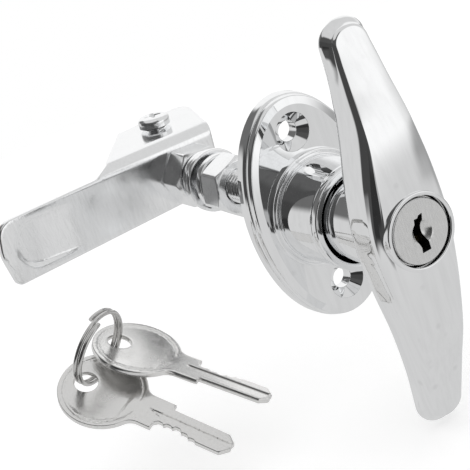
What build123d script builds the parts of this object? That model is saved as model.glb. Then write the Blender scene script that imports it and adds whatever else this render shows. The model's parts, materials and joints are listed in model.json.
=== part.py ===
from build123d import *
import os
from math import atan2, cos, degrees, hypot, pi, radians, sin, sqrt, tan

os.makedirs("parts", exist_ok=True)

# Key-locking T-handle for a cabinet door, in millimetres
# X runs to the right seen from the front, Y runs into the cabinet, Z runs up
# The origin is on the spindle axis, in the mounting face of the oval plate
# The handle and all that turns with it stand a few degrees past closed, as in the photograph
turned_deg = 7.0

# Oval plate with its collar, die-cast
plate_width = 42.0
plate_height = 69.2
plate_depth = 6.3
rim_land = 1.9
rim_step = 1.05
rim_step_count = 3
rim_ridge = 0.75
plate_wall = 2.6
plate_web_front = 6.0
plate_web_back = 2.6
screw_spacing = 47.7
screw_hole_d = 6.0
screw_sink_d = 11.3
screw_boss_d = 13.5
collar_reach = 26.5
collar_bore = 25.2
collar_rim_d = 30.6
collar_base_d = 30.2
collar_bead_d = 34.0
collar_bead_h = 1.5
collar_lip_h = 3.0
collar_lip_r = 1.1
collar_mouth_gap = 0.8
collar_mouth_depth = 0.9
collar_root = 0.8

# Stops and lock notches between the handle's neck and the plate
quarter_turn_deg = 90.0
stop_half_deg = 12.0
stop_play_deg = 1.0
stop_inner_r = 7.6
stop_outer_r = 11.4
stop_depth = 2.0
notch_outer_r = 14.1
notch_play_deg = 1.5

# T-handle, die-cast
bar_length = 118.8
bar_mid_half = 12.6
bar_knee_half = 8.4
bar_knee_z = 29.0
bar_end_half = 7.4
bar_end_z = 53.4
bar_front_mid = 53.2
bar_front_knee = 51.9
bar_front_end = 44.2
bar_back_mid = 38.0
bar_back_knee = 37.6
bar_back_end = 38.4
bar_crown_r = 42.0
bar_crease = 1.3
bar_back_round = 2.2
bar_end_drop = 0.6
bar_over = 4.0
bar_lag_deg = 1.7
neck_d = 24.6
bead_outer_d = 22.0
bead_inner_d = 19.6
bead_reach = 53.9
bead_round = 0.45

# Lock barrel and plug in the handle
barrel_d = 18.9
barrel_front = 51.4
barrel_back = 29.6
plug_head_d = 18.9
plug_proud = 2.0
plug_edge = 0.35
plug_d = 12.8
plug_tail = 2.0
dimple_d = 5.6
dimple_depth = 0.9
dimple_round = 0.7
keyway_width = 1.9
keyway_top = 4.9
keyway_bottom = 5.3
keyway_jog = 1.2
keyway_slant = 0.6
wafer_count = 5
wafer_pitch = 2.7
wafer_setback = 3.8
wafer_thick = 0.9
wafer_width = 6.2
wafer_height = 9.6
wafer_window_w = 3.0
wafer_window_h = 7.0
wafer_window_drop = 0.2
wafer_corner = 0.6
barrel_groove_w = 6.8
barrel_groove_r = 7.9
running = 0.06
fit_gap = 0.1
seat_gap = 0.3
clip_thick = 0.8
clip_outer_d = 14.4
clip_inner_d = 10.9
clip_mouth_deg = 70.0

# Crank on the plug's tail and the locking bolt that it drives
tail_square = 4.0
crank_thick = 2.4
crank_socket = 1.3
crank_d = 11.0
crank_throw = 1.8
crank_pin_d = 2.4
crank_pin_len = 2.6
bolt_width = 6.0
bolt_thick = 3.6
bolt_tail = 5.4
bolt_guide_gap = 0.1
bolt_setback = 0.3
yoke_lead = 0.8
chamber_d = 15.0

# Spindle and its stack, metric ten
spindle_d = 9.9
spindle_head_d = 12.0
spindle_head_len = 9.5
spindle_end = 78.0
spindle_flats = 8.0
spindle_chamfer = 0.8
cross_pin_d = 3.0
cross_pin_short = 0.3
cross_pin_edge = 0.3
thrust_washer_d = 17.0
thrust_washer_t = 1.2
ring_clip_d = 14.4
ring_clip_t = 1.2
ring_groove_d = 8.4
ring_relief_r = 1.1
nut_flats = 17.0
nut_height = 9.2
nut_chamfer_deg = 30.0
nut_face_part = 0.96
nut_sink = 0.9
nut_front_y = 34.8
nut_front_deg = 76.0
nut_rear_deg = 109.7
split_free = 5.2
split_thick = 2.5
split_inner_d = 10.4
split_outer_d = 17.6
split_mouth_deg = 14.0
split_front_deg = 150.0
split_rear_deg = 120.0
flat_washer_d = 19.4
flat_washer_t = 2.0
flat_washer_edge = 0.3
stack_gap = 0.05
end_washer_d = 17.6
end_washer_t = 1.4
end_nut_height = 5.0
end_nut_deg = 90.0

# Bent sheet cam
cam_thick = 2.4
arm_reach = 67.1
arm_top = 8.9
arm_bottom = 11.5
arm_tip_bulge = 1.3
arm_tip_round = 5.5
arm_tip_tight = 2.0
hub_bottom = 7.9
hub_right = 11.6
hub_round = 5.0
flange_top = 12.6
bend_inner_r = 1.6
flange_left = 25.2
flange_depth = 28.3
flange_far_left = 7.2
flange_far_right = 18.6
flange_corner_r = 4.0
flange_tight_r = 0.8
flange_right_step = 6.1
flange_right_run = 20.2
flange_end_slant = 2.5
arm_kink = 30.5
arm_kink_top = 9.9
dish_left = 62.6
dish_right = 37.0
dish_top = 5.8
dish_bottom = 8.5
dish_depth = 1.1

# Rod screw and its nut on the flange, metric five
rod_screw_d = 4.9
rod_screw_x = 1.4
rod_screw_back = 81.8
rod_head_d = 10.0
rod_head_h = 3.4
rod_head_proud = 0.8
rod_head_round = 1.6
rod_tip_edge = 0.5
rod_screw_len = 12.0
cross_slot = 1.3
cross_reach = 5.6
cross_depth = 1.9
cross_turn_deg = 20.0
rod_nut_flats = 8.0
rod_nut_h = 3.8

# Table that the keys lie on, seen from the lock
table_lean_deg = 28.5
table_y = 15.4
table_z = -40.0

# Keys on their split ring
key_thick = 1.8
key_head_r = 13.2
key_head_y = 5.6
key_hole_r = 3.5
key_neck_half = 5.3
key_neck_fillet = 4.0
key_shoulder_y = 27.0
key_shoulder_lead = 2.8
key_blade_half = 3.5
key_blade_len = 20.9
key_tip_half = 1.5
key_tip_len = 2.4
key_bite_first = -1.0
key_bites = (1.3, 1.55, 1.9, 1.1, 0.5)
key_bite_flat = 1.3
key_groove_w = 1.6
key_groove_d = 0.5
key_groove_side = 0.5
key_groove_lead = 8.5
key_groove_point = 4.0
key_groove_over = 2.0
key_tip_skew = 0.6
key_border_r = 11.2
key_border_w = 0.45
key_border_d = 0.2
key_one_x = -70.8
key_one_y = 22.05
key_one_h = 2.5
key_one_deg = -158.0
key_one_pitch_deg = 2.9
key_two_x = -55.7
key_two_y = 26.2
key_two_h = 4.7
key_two_deg = -152.6
key_two_pitch_deg = 4.6
key_two_roll_deg = 20.7
ring_r = 11.05
ring_wire_d = 1.3
ring_pitch = 1.5
ring_half_turns = 4
ring_spread = 0.6
ring_shift = 0.8
ring_side = -0.75
ring_twist_deg = 4.1
ring_gap_steps = 90

# Derived places along the spindle
plug_face = barrel_front + plug_proud
plug_back = barrel_back - plug_tail
wafer_first = barrel_front - wafer_setback
neck_end = plate_web_front + seat_gap
web_back = -plate_web_back
thrust_y = web_back + seat_gap
ring_clip_y = thrust_y + thrust_washer_t + stack_gap
plug_clip_y = -barrel_back + fit_gap
nut_front_back = nut_front_y + nut_height
split_one_y = nut_front_back + stack_gap
flat_y = split_one_y + split_free + stack_gap
split_two_y = flat_y + flat_washer_t + stack_gap
nut_rear_y = split_two_y + split_free + stack_gap
cam_y = nut_rear_y + nut_height + stack_gap
end_washer_y = cam_y + cam_thick + stack_gap
end_nut_y = end_washer_y + end_washer_t + stack_gap
crank_y = -(plug_back - seat_gap)
crank_back = crank_y + crank_thick
bolt_front = crank_back + seat_gap
bolt_back = bolt_front + bolt_thick
bolt_tip = neck_d / 2 - bolt_setback
spindle_head_y = -(neck_end + spindle_head_len)
cross_pin_y = -(neck_end + spindle_head_len / 2)


def front(y):
    """Sketch plane that faces the viewer at this depth."""
    return Plane(origin=(0, y, 0), x_dir=(1, 0, 0), z_dir=(0, -1, 0))


def slab(sketch, y_back, y_front):
    """Flat piece with the sketch as its front view."""
    return extrude(front(y_back) * sketch, amount=y_back - y_front)


def rod(radius, y_front, y_back):
    """Round piece on the spindle axis."""
    return slab(Circle(radius), y_back, y_front)


def turned(shape):
    """Turn a piece with the handle about the spindle axis."""
    return Rot(0, turned_deg, 0) * shape


def lathe(points):
    """Round piece from a half profile of radius and depth."""
    return revolve(make_face(Polyline(*points, close=True)), Axis.Y)


def sector(r_in, r_out, from_deg, to_deg, y_front, y_back):
    """Ring sector, its angles counted clockwise from the top in front view."""
    reach = r_out * 1.6
    steps = 6
    span = to_deg - from_deg
    rays = [from_deg + span * i / steps for i in range(steps + 1)]
    corners = [(reach * sin(radians(a)), reach * cos(radians(a))) for a in rays]
    wedge = make_face(Polyline((0, 0), *corners, close=True))
    ring = Circle(r_out) - Circle(r_in)
    return slab(ring & wedge, y_back, y_front)


def hexagon(flats, turn_deg):
    return Rot(0, 0, turn_deg) * RegularPolygon(flats / 2, 6, major_radius=False)


# Oval plate and collar
def plate_rim():
    """Stepped oval rim, each step a little smaller and further forward."""
    half_w = plate_width / 2
    half_h = plate_height / 2
    body = slab(Ellipse(half_w, half_h), 0, -rim_land)
    step_depth = (plate_depth - rim_land) / rim_step_count
    for i in range(1, rim_step_count + 1):
        inset = rim_step * i
        back = -rim_land - step_depth * (i - 1)
        body += slab(Ellipse(half_w - inset, half_h - inset), 0, back - step_depth)
        body += slab(Ellipse(half_w - inset + rim_ridge / 2, half_h - inset + rim_ridge / 2),
                     0, back - step_depth / 2)
    return body


def escutcheon():
    body = plate_rim()
    bead = (collar_bead_d - collar_base_d) / 2
    bead_top = -plate_depth - collar_bead_h
    body += lathe([
        (0, 0),
        (collar_bead_d / 2, 0),
        (collar_bead_d / 2, bead_top + collar_bead_h / 2),
        (collar_bead_d / 2 - bead / 3, bead_top),
        (collar_base_d / 2, bead_top),
        (collar_base_d / 2, -collar_reach + collar_lip_h),
        (collar_rim_d / 2, -collar_reach + collar_lip_r),
        (collar_rim_d / 2 - collar_lip_r, -collar_reach),
        (0, -collar_reach),
    ])
    # Hollow back with the rim wall, the web round the spindle and two screw bosses
    inner = Ellipse(plate_width / 2 - plate_wall, plate_height / 2 - plate_wall)
    hollow = slab(inner, 1, -plate_web_back)
    hollow += slab(Ellipse(plate_width / 2 - plate_wall - rim_step * 2,
                           plate_height / 2 - plate_wall - rim_step * 2),
                   1, -plate_depth + plate_wall)
    hollow -= rod(collar_bead_d / 2 - collar_root, -plate_depth, -plate_web_back)
    for side in (1, -1):
        post = Pos(0, side * screw_spacing / 2) * Circle(screw_boss_d / 2)
        hollow -= slab(post, 1.5, -plate_depth)
    body -= hollow
    # Running bore of the collar and the spindle's hole
    body -= rod(collar_bore / 2, -collar_reach - 1, -plate_web_front)
    body -= rod(spindle_d / 2 + seat_gap, -plate_depth - 1, 1)
    body -= rod(collar_bore / 2 + collar_mouth_gap, -collar_reach - 1,
                -collar_reach + collar_mouth_depth)
    # Countersunk screw holes on the long axis
    sink = (screw_sink_d - screw_hole_d) / 2
    for side in (1, -1):
        drill = lathe([
            (0, 1),
            (screw_hole_d / 2, 1),
            (screw_hole_d / 2, -plate_depth + sink),
            (screw_sink_d / 2, -plate_depth),
            (screw_sink_d / 2, -plate_depth - 1),
            (0, -plate_depth - 1),
        ])
        body -= Pos(0, 0, side * screw_spacing / 2) * drill
    # Arc pocket for the handle's stop and two notches for the locking bolt
    body -= sector(stop_inner_r - seat_gap, stop_outer_r + seat_gap,
                   -stop_half_deg - stop_play_deg,
                   quarter_turn_deg + stop_half_deg + stop_play_deg,
                   -plate_web_front - 1, -plate_web_front + stop_depth + seat_gap)
    half = degrees(atan2(bolt_width / 2, bolt_tip)) + notch_play_deg
    spans = ((-half, turned_deg + half),
             (quarter_turn_deg - turned_deg - half, quarter_turn_deg + half))
    for low, high in spans:
        body -= sector(collar_bore / 2 - 1, notch_outer_r, low, high,
                       bolt_front - seat_gap, bolt_back + seat_gap)
    return body


# T-handle
def bar_outline():
    """Front view of the bar, widest in the middle, with rounded ends."""
    half = bar_length / 2
    right = Spline((bar_end_half, bar_end_z), (bar_knee_half, bar_knee_z),
                   (bar_mid_half, 0), (bar_knee_half, -bar_knee_z),
                   (bar_end_half, -bar_end_z))
    left = mirror(right, Plane.YZ)
    top = ThreePointArc((bar_end_half, bar_end_z), (0, half), (-bar_end_half, bar_end_z))
    bottom = mirror(top, Plane.XZ)
    return make_face([right, left, top, bottom])


def bar_front():
    """Bowed and crowned front, turned about a line behind the bar."""
    half = bar_length / 2
    middle = bar_front_mid - bar_crown_r
    tip_y = -bar_front_end + bar_end_drop
    end_y = -bar_front_end - bar_end_drop
    tip_z = half + bar_over
    curve = Spline((tip_y, tip_z), (end_y, bar_end_z),
                   (-bar_front_knee, bar_knee_z), (-bar_front_mid, 0),
                   (-bar_front_knee, -bar_knee_z), (end_y, -bar_end_z), (tip_y, -tip_z))
    close = Polyline((tip_y, tip_z), (-middle, tip_z), (-middle, -tip_z), (tip_y, -tip_z))
    face = Plane.YZ * make_face([curve, close])
    return revolve(face, Axis((0, -middle, 0), (0, 0, 1)))


def bar_side():
    """Side view of the bar's flat back."""
    tip_z = bar_length / 2 + bar_over
    curve = Spline((-bar_back_end, tip_z), (-bar_back_knee, bar_knee_z),
                   (-bar_back_mid, 0), (-bar_back_knee, -bar_knee_z),
                   (-bar_back_end, -tip_z))
    reach = bar_front_mid + 2 * bar_over
    close = Polyline((-bar_back_end, tip_z), (-reach, tip_z), (-reach, -tip_z),
                     (-bar_back_end, -tip_z))
    face = Plane.YZ * make_face([curve, close])
    reach_x = bar_mid_half + bar_over
    return Pos(-reach_x, 0, 0) * extrude(face, amount=2 * reach_x)


def handle():
    blank = slab(bar_outline(), -bar_back_end + bar_over, -bar_front_mid - bar_over)
    bar = blank & bar_front() & bar_side()
    edges = bar.edges()
    crease = edges.filter_by(lambda e: e.center().Y < -bar_back_mid - 3)
    crease = crease.filter_by(lambda e: e.length > 8)
    bar = fillet(crease, bar_crease)
    rear = bar.edges().filter_by(lambda e: e.center().Y > -bar_back_mid - 0.4)
    rear = rear.filter_by(lambda e: e.length > 8)
    bar = fillet(rear, bar_back_round)
    # The bar stands a little short of the cam's turn, as in the photograph
    bar = Rot(0, -bar_lag_deg, 0) * bar
    body = bar + rod(neck_d / 2, -bar_back_mid - 4, -neck_end)
    # Raised bead round the lock
    bead = lathe([
        (0, -bar_back_mid - 8),
        (bead_outer_d / 2, -bar_back_mid - 8),
        (bead_outer_d / 2, -bead_reach + bead_round),
        (bead_outer_d / 2 - bead_round, -bead_reach),
        (bead_inner_d / 2 + bead_round, -bead_reach),
        (bead_inner_d / 2, -bead_reach + bead_round),
        (0, -bead_reach + bead_round),
    ])
    body += bead
    # Pocket for the barrel, chamber for the crank and slot for the bolt
    body -= rod(barrel_d / 2 + running, -bead_reach - 1, -barrel_back)
    body -= rod(chamber_d / 2, -barrel_back - 1, bolt_front)
    channel = bolt_width + 2 * bolt_guide_gap
    reach = neck_d / 2 + 2
    low = bolt_tail + bolt_guide_gap + seat_gap
    slot = Pos(0, (reach - low) / 2) * Rectangle(channel, reach + low)
    body -= slab(slot, bolt_back + bolt_guide_gap, bolt_front - bolt_guide_gap)
    # Seat of the spindle's head and the cross pin's hole
    body -= rod(spindle_head_d / 2 + running, spindle_head_y, 0)
    pin = Cylinder(cross_pin_d / 2 + running, neck_d + 4)
    body -= Pos(0, cross_pin_y, 0) * Rot(0, 90, 0) * pin
    # Stop lug on the end of the neck
    body += sector(stop_inner_r, stop_outer_r, -stop_half_deg, stop_half_deg,
                   -neck_end - 1, -neck_end + stop_depth)
    return body


# Lock barrel, plug and wafers
def keyway(depth_front, depth_back):
    """Stepped key slot through the plug, upright in front view."""
    half = keyway_width / 2
    jog = keyway_jog / 2
    third = (keyway_top + keyway_bottom) / 6
    slant = keyway_slant / 2
    points = [
        (-half + jog, keyway_top), (half + jog, keyway_top), (half + jog, third - slant),
        (half, third - 3 * slant), (half, -third + slant), (half - jog, -third - slant),
        (half - jog, -keyway_bottom), (-half - jog, -keyway_bottom),
        (-half - jog, -third + slant), (-half, -third + 3 * slant),
        (-half, third - slant), (-half + jog, third + slant),
    ]
    return slab(make_face(Polyline(*points, close=True)), depth_back, depth_front)


def wafer_places():
    return [-(wafer_first - i * wafer_pitch) for i in range(wafer_count)]


def lock_barrel():
    body = rod(barrel_d / 2, -barrel_front, -barrel_back)
    body -= rod(plug_d / 2 + running, -barrel_front - 1, -barrel_back + 1)
    groove = Rectangle(barrel_groove_w, 2 * barrel_groove_r)
    body -= slab(groove, -barrel_back - 3, -barrel_front + 2)
    return body


def lock_plug():
    body = rod(plug_head_d / 2, -plug_face, -barrel_front - fit_gap)
    body = chamfer(body.edges().filter_by(GeomType.CIRCLE).sort_by(Axis.Y)[:1], plug_edge)
    body += rod(plug_d / 2, -barrel_front - 1, -plug_back)
    tail = Rectangle(tail_square, tail_square)
    body += slab(tail, crank_y + crank_socket - fit_gap, -plug_back - 1)
    body -= lathe([
        (0, -plug_face - 1),
        (dimple_d / 2, -plug_face - 1),
        (dimple_d / 2, -plug_face),
        (dimple_d / 2 - dimple_round, -plug_face + dimple_depth),
        (0, -plug_face + dimple_depth),
    ])
    body -= keyway(-plug_face - 1, -plug_back - 3)
    slot = Rectangle(wafer_width + 2 * fit_gap, plug_d + 2)
    for y in wafer_places():
        body -= slab(slot, y + wafer_thick + fit_gap, y - fit_gap)
    groove = rod(plug_d, plug_clip_y - fit_gap / 2, plug_clip_y + clip_thick + fit_gap / 2)
    body -= groove - rod(clip_inner_d / 2 - fit_gap, -barrel_back - 1, -plug_back + 1)
    return body


def plug_clip():
    """Open spring clip that holds the plug in the barrel."""
    y = plug_clip_y
    body = rod(clip_outer_d / 2, y, y + clip_thick)
    body -= rod(clip_inner_d / 2, y - 1, y + clip_thick + 1)
    half = clip_mouth_deg / 2
    mouth = sector(clip_inner_d / 4, clip_outer_d, 90 - half, 90 + half, y - 1, y + clip_thick + 1)
    return body - mouth


def wafer(y):
    """Brass wafer with its key window, drawn inside the plug."""
    plate = Rectangle(wafer_width, wafer_height)
    window = Pos(0, -wafer_window_drop) * Rectangle(wafer_window_w, wafer_window_h)
    body = slab(plate - window, y + wafer_thick, y)
    corners = body.edges().filter_by(Axis.Y)
    outer = corners.filter_by(lambda e: abs(e.center().X) > wafer_width / 2 - 0.1)
    return chamfer(outer, wafer_corner)


def crank():
    """Disc on the plug's square tail, with the off-centre pin that moves the bolt."""
    body = rod(crank_d / 2, crank_y, crank_back)
    square = Rectangle(tail_square + 2 * fit_gap, tail_square + 2 * fit_gap)
    body -= slab(square, crank_y + crank_socket, crank_y - 1)
    pin = Pos(-crank_throw, 0) * Circle(crank_pin_d / 2)
    return body + slab(pin, crank_back + crank_pin_len, crank_back - crank_thick / 3)


# Locking bolt
def locking_bolt():
    height = bolt_tip + bolt_tail
    middle = (bolt_tip - bolt_tail) / 2
    body = slab(Pos(0, middle) * Rectangle(bolt_width, height), bolt_back, bolt_front)
    yoke_w = 2 * (crank_throw + crank_pin_d / 2 + fit_gap)
    yoke_h = crank_pin_d + 2 * fit_gap + yoke_lead
    yoke = Pos(-crank_throw / 2, yoke_lead / 2) * Rectangle(yoke_w, yoke_h)
    body -= slab(yoke, bolt_front + crank_pin_len, bolt_front - 1)
    return body


# Spindle and what sits on it
def spindle():
    body = rod(spindle_head_d / 2, spindle_head_y, -neck_end)
    body += rod(spindle_d / 2, -neck_end - 1, spindle_end)
    tip = body.edges().filter_by(GeomType.CIRCLE).sort_by(Axis.Y)[-1:]
    body = chamfer(tip, spindle_chamfer)
    pin = Cylinder(cross_pin_d / 2 + running, neck_d)
    body -= Pos(0, cross_pin_y, 0) * Rot(0, 90, 0) * pin
    groove = rod(spindle_d, ring_clip_y - stack_gap, ring_clip_y + ring_clip_t + stack_gap)
    body -= groove - rod(ring_groove_d / 2, ring_clip_y - 1, ring_clip_y + ring_clip_t + 1)
    # Two flats that carry the cam round
    for side in (1, -1):
        cut = Pos(0, side * (spindle_flats / 2 + spindle_d / 2)) * Rectangle(spindle_d * 2, spindle_d)
        body -= slab(cut, spindle_end + 1, cam_y - stack_gap)
    return body


def cross_pin():
    length = neck_d - 2 * cross_pin_short
    pin = Cylinder(cross_pin_d / 2, length)
    pin = chamfer(pin.edges().filter_by(GeomType.CIRCLE), cross_pin_edge)
    return Pos(0, cross_pin_y, 0) * Rot(0, 90, 0) * pin


def thrust_washer():
    body = rod(thrust_washer_d / 2, thrust_y, thrust_y + thrust_washer_t)
    return body - rod(spindle_d / 2 + fit_gap, thrust_y - 1, thrust_y + 3)


def ring_clip():
    """Open retaining clip in the spindle's groove."""
    y = ring_clip_y
    body = rod(ring_clip_d / 2, y, y + ring_clip_t)
    body -= rod(ring_groove_d / 2 + fit_gap, y - 1, y + 3)
    mouth = Pos(0, -ring_clip_d / 2) * Rectangle(ring_groove_d * 0.8, ring_clip_d)
    body -= slab(mouth, y + 3, y - 1)
    for side in (1, -1):
        relief = Pos(side * ring_groove_d * 0.55, ring_groove_d * 0.3) * Circle(ring_relief_r)
        body -= slab(relief, y + 3, y - 1)
    return body


def hex_nut(y, height, turn_deg):
    """Hexagon nut, both faces chamfered, its bore countersunk."""
    face_r = nut_flats / 2 * nut_face_part
    corner_r = nut_flats / 2 / cos(radians(30)) + 0.2
    slope = (corner_r - face_r) * tan(radians(nut_chamfer_deg))
    cone = lathe([(0, y), (face_r, y), (corner_r, y + slope),
                  (corner_r, y + height - slope), (face_r, y + height), (0, y + height)])
    body = slab(hexagon(nut_flats, turn_deg), y + height, y) & cone
    bore = spindle_d / 2 + stack_gap
    wide = bore + nut_sink
    return body - lathe([(0, y - 1), (wide, y - 1), (wide, y), (bore, y + nut_sink),
                         (bore, y + height - nut_sink), (wide, y + height),
                         (wide, y + height + 1), (0, y + height + 1)])


def split_washer(y, start_deg):
    """Uncompressed split lock washer, one turn that climbs by its own thickness."""
    climb = split_free - split_thick
    turn = (360 - split_mouth_deg) / 360
    mean = (split_inner_d + split_outer_d) / 4
    width = (split_outer_d - split_inner_d) / 2
    path = Helix(pitch=climb / turn, height=climb, radius=mean)
    section = Plane(origin=(mean, 0, 0), x_dir=(1, 0, 0), z_dir=(0, 1, 0))
    coil = sweep(section * Rectangle(width, split_thick), path=path, is_frenet=True)
    coil = Pos(0, 0, split_thick / 2) * coil
    return Pos(0, y, 0) * Rot(0, start_deg, 0) * Rot(-90, 0, 0) * coil


def flat_washer():
    body = rod(flat_washer_d / 2, flat_y, flat_y + flat_washer_t)
    body = chamfer(body.edges().filter_by(GeomType.CIRCLE), flat_washer_edge)
    return body - rod(spindle_d / 2 + fit_gap * 2, flat_y - 1, flat_y + 5)


# Cam
def cam_front():
    """Front view of the arm and hub, with room above for the bend."""
    tip_top = (-arm_reach + arm_tip_bulge, arm_top)
    tip_low = (-arm_reach + 2 * arm_tip_bulge, -arm_bottom)
    bend_low = flange_top - cam_thick - bend_inner_r
    over = flange_far_right + 4
    tip = ThreePointArc(tip_top, (-arm_reach, (arm_top - arm_bottom) / 2), tip_low)
    rest = Polyline(tip_low, (hub_right, -hub_bottom), (hub_right, bend_low), (over, bend_low),
                    (over, flange_top + 1), (-flange_left, flange_top + 1),
                    (-arm_kink, arm_kink_top), tip_top)
    face = make_face([tip, rest])
    corners = face.vertices()
    face = fillet(corners.filter_by(lambda v: v.X < -arm_kink - 5 and v.Y > 0), arm_tip_round)
    corners = face.vertices()
    face = fillet(corners.filter_by(lambda v: v.X < -arm_kink - 5 and v.Y < -hub_bottom - 2),
                  arm_tip_tight)
    low = face.vertices().filter_by(lambda v: v.X > hub_right - 1 and v.Y < 0)
    return fillet(low, hub_round)


def cam_top():
    """Top view of the cam, the flange slanted on its left side."""
    back = cam_y + cam_thick
    near_right = flange_far_right - flange_right_step
    corners = [(-arm_reach - 1, cam_y - 1), (near_right, cam_y - 1),
               (near_right, back + bend_inner_r), (flange_far_right, back + flange_right_run),
               (flange_far_right, cam_y + flange_depth),
               (-flange_far_left, cam_y + flange_depth - flange_end_slant),
               (-flange_left, back), (-arm_reach - 1, back)]
    face = make_face(Polyline(*corners, close=True))
    far = face.vertices().filter_by(lambda v: v.Y > cam_y + flange_depth - 3)
    face = fillet(far.sort_by(Axis.X)[-1:], flange_corner_r)
    far = face.vertices().filter_by(lambda v: v.Y > cam_y + flange_depth - 3)
    return fillet(far.sort_by(Axis.X)[:1], flange_tight_r)


def dish(y, lead):
    """Pressed hollow near the tip, deepest at its round end and fading toward the hub."""
    height = dish_top + dish_bottom
    length = dish_left - dish_right + height / 2
    place = Pos(-dish_left + length / 2, (dish_top - dish_bottom) / 2)
    wedge = make_face(Polyline((-dish_left, y - lead), (-dish_left, y + dish_depth),
                               (-dish_left + height / 2, y + dish_depth), (-dish_right, y),
                               (-dish_right, y - lead), close=True))
    low = Pos(0, 0, -dish_bottom - 2)
    fade = extrude(low * wedge, amount=height + 4)
    return slab(place * SlotOverall(length, height), y + dish_depth + 1, y - lead - 1) & fade


def cam():
    outer = bend_inner_r + cam_thick
    back = cam_y + cam_thick
    low = -arm_bottom - 2
    far = cam_y + flange_depth + 2
    # Bent section seen from the side
    line = [Line((cam_y, low), (cam_y, flange_top - outer)),
            RadiusArc((cam_y, flange_top - outer), (cam_y + outer, flange_top), outer),
            Line((cam_y + outer, flange_top), (far, flange_top)),
            Line((far, flange_top), (far, flange_top - cam_thick)),
            Line((far, flange_top - cam_thick), (back + bend_inner_r, flange_top - cam_thick)),
            RadiusArc((back + bend_inner_r, flange_top - cam_thick),
                      (back, flange_top - outer), -bend_inner_r),
            Line((back, flange_top - outer), (back, low)),
            Line((back, low), (cam_y, low))]
    side = Plane.YZ * make_face(Curve() + line)
    reach = arm_reach + 5
    body = Pos(-reach, 0, 0) * extrude(side, amount=2 * reach)
    body &= slab(cam_front(), far + 2, cam_y - 2)
    body &= extrude(Pos(0, 0, -arm_bottom - 5) * cam_top(), amount=flange_top + arm_bottom + 10)
    body -= dish(cam_y, 1)
    body += dish(back, cam_thick / 4)
    hole = Circle(spindle_d / 2 + fit_gap) & Rectangle(spindle_d * 2, spindle_flats + 2 * fit_gap)
    body -= slab(hole, back + 2, cam_y - 2)
    drill = Cylinder(rod_screw_d / 2 + fit_gap * 3, 12)
    return body - Pos(rod_screw_x, rod_screw_back, flange_top) * drill


def end_washer():
    body = rod(end_washer_d / 2, end_washer_y, end_washer_y + end_washer_t)
    return body - rod(spindle_d / 2 + fit_gap, end_washer_y - 1, end_washer_y + 3)


# Rod screw on the flange
def rod_screw():
    """Cross-recessed pan head screw, standing a little proud of the flange."""
    head = Cylinder(rod_head_d / 2, rod_head_h, align=(Align.CENTER, Align.CENTER, Align.MIN))
    head = fillet(head.edges().filter_by(GeomType.CIRCLE).sort_by(Axis.Z)[-1:], rod_head_round)
    shank = Cylinder(rod_screw_d / 2, rod_screw_len + 1,
                     align=(Align.CENTER, Align.CENTER, Align.MAX))
    shank = chamfer(shank.edges().filter_by(GeomType.CIRCLE).sort_by(Axis.Z)[:1], rod_tip_edge)
    body = head + Pos(0, 0, 1) * shank
    for turn in (cross_turn_deg, cross_turn_deg + 90):
        slot = Box(cross_reach, cross_slot, cross_depth,
                   align=(Align.CENTER, Align.CENTER, Align.MAX))
        body -= Pos(0, 0, rod_head_h + 0.01) * Rot(0, 0, turn) * slot
    return Pos(rod_screw_x, rod_screw_back, flange_top + rod_head_proud) * body


def rod_nut():
    body = extrude(RegularPolygon(rod_nut_flats / 2, 6, major_radius=False), amount=-rod_nut_h)
    body -= Cylinder(rod_screw_d / 2 + stack_gap, 3 * rod_nut_h)
    return Pos(rod_screw_x, rod_screw_back, flange_top - cam_thick - stack_gap) * body


# Keys and their ring, lying on a table
def on_table(shape):
    lean = radians(table_lean_deg)
    table = Plane(origin=(0, table_y, table_z), x_dir=(1, 0, 0), z_dir=(0, -sin(lean), cos(lean)))
    return table.location * shape


def key():
    """Flat key about its ring hole, its blade toward +Y and its cuts on the +X edge."""
    head = Pos(0, key_head_y) * Circle(key_head_r)
    neck_low = key_head_y + key_head_r / 2
    cut_shoulder_y = key_shoulder_y - key_shoulder_lead
    neck = make_face(Polyline((-key_neck_half, neck_low), (key_neck_half, neck_low),
                              (key_neck_half, cut_shoulder_y), (0, cut_shoulder_y),
                              (0, key_shoulder_y), (-key_neck_half, key_shoulder_y), close=True))
    bow = head + neck
    joint = key_head_y + sqrt(key_head_r ** 2 - key_neck_half ** 2)
    inner = bow.vertices().filter_by(lambda v: abs(v.Y - joint) < 0.2)
    bow = fillet(inner, key_neck_fillet)
    tip_y = key_shoulder_y + key_blade_len
    root_y = cut_shoulder_y - 1
    corners = [(-key_blade_half, root_y), (-key_blade_half, tip_y - key_tip_len),
               (-key_tip_half, tip_y), (key_tip_half - key_tip_skew, tip_y),
               (key_blade_half, tip_y - key_tip_len), (key_blade_half, root_y)]
    blade = make_face(Polyline(*corners, close=True))
    for i, depth in enumerate(key_bites):
        y = key_shoulder_y + key_bite_first + i * wafer_pitch
        wide = key_bite_flat / 2 + depth
        deep = key_blade_half - depth
        outer = key_blade_half + fit_gap
        bite = Polyline((outer, y - wide - fit_gap), (deep, y - key_bite_flat / 2),
                        (deep, y + key_bite_flat / 2), (outer, y + wide + fit_gap), close=True)
        blade -= make_face(bite)
    body = extrude(bow + blade, amount=key_thick)
    body -= Cylinder(key_hole_r, 3 * key_thick)
    border = Circle(key_border_r + key_border_w) - Circle(key_border_r)
    groove_low = key_shoulder_y - key_groove_lead
    groove_high = tip_y + key_groove_over
    half = key_groove_w / 2
    groove = make_face(Polyline((-half, groove_low), (half, groove_low + key_groove_point),
                                (half, groove_high), (-half, groove_high), close=True))
    for side, z in ((1, key_thick - key_groove_d), (-1, 0)):
        body -= Pos(key_groove_side * side, 0, z) * extrude(groove, amount=key_groove_d)
    for z in (0, key_thick - key_border_d):
        body -= Pos(0, key_head_y, z) * extrude(border, amount=key_border_d)
    return body


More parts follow.
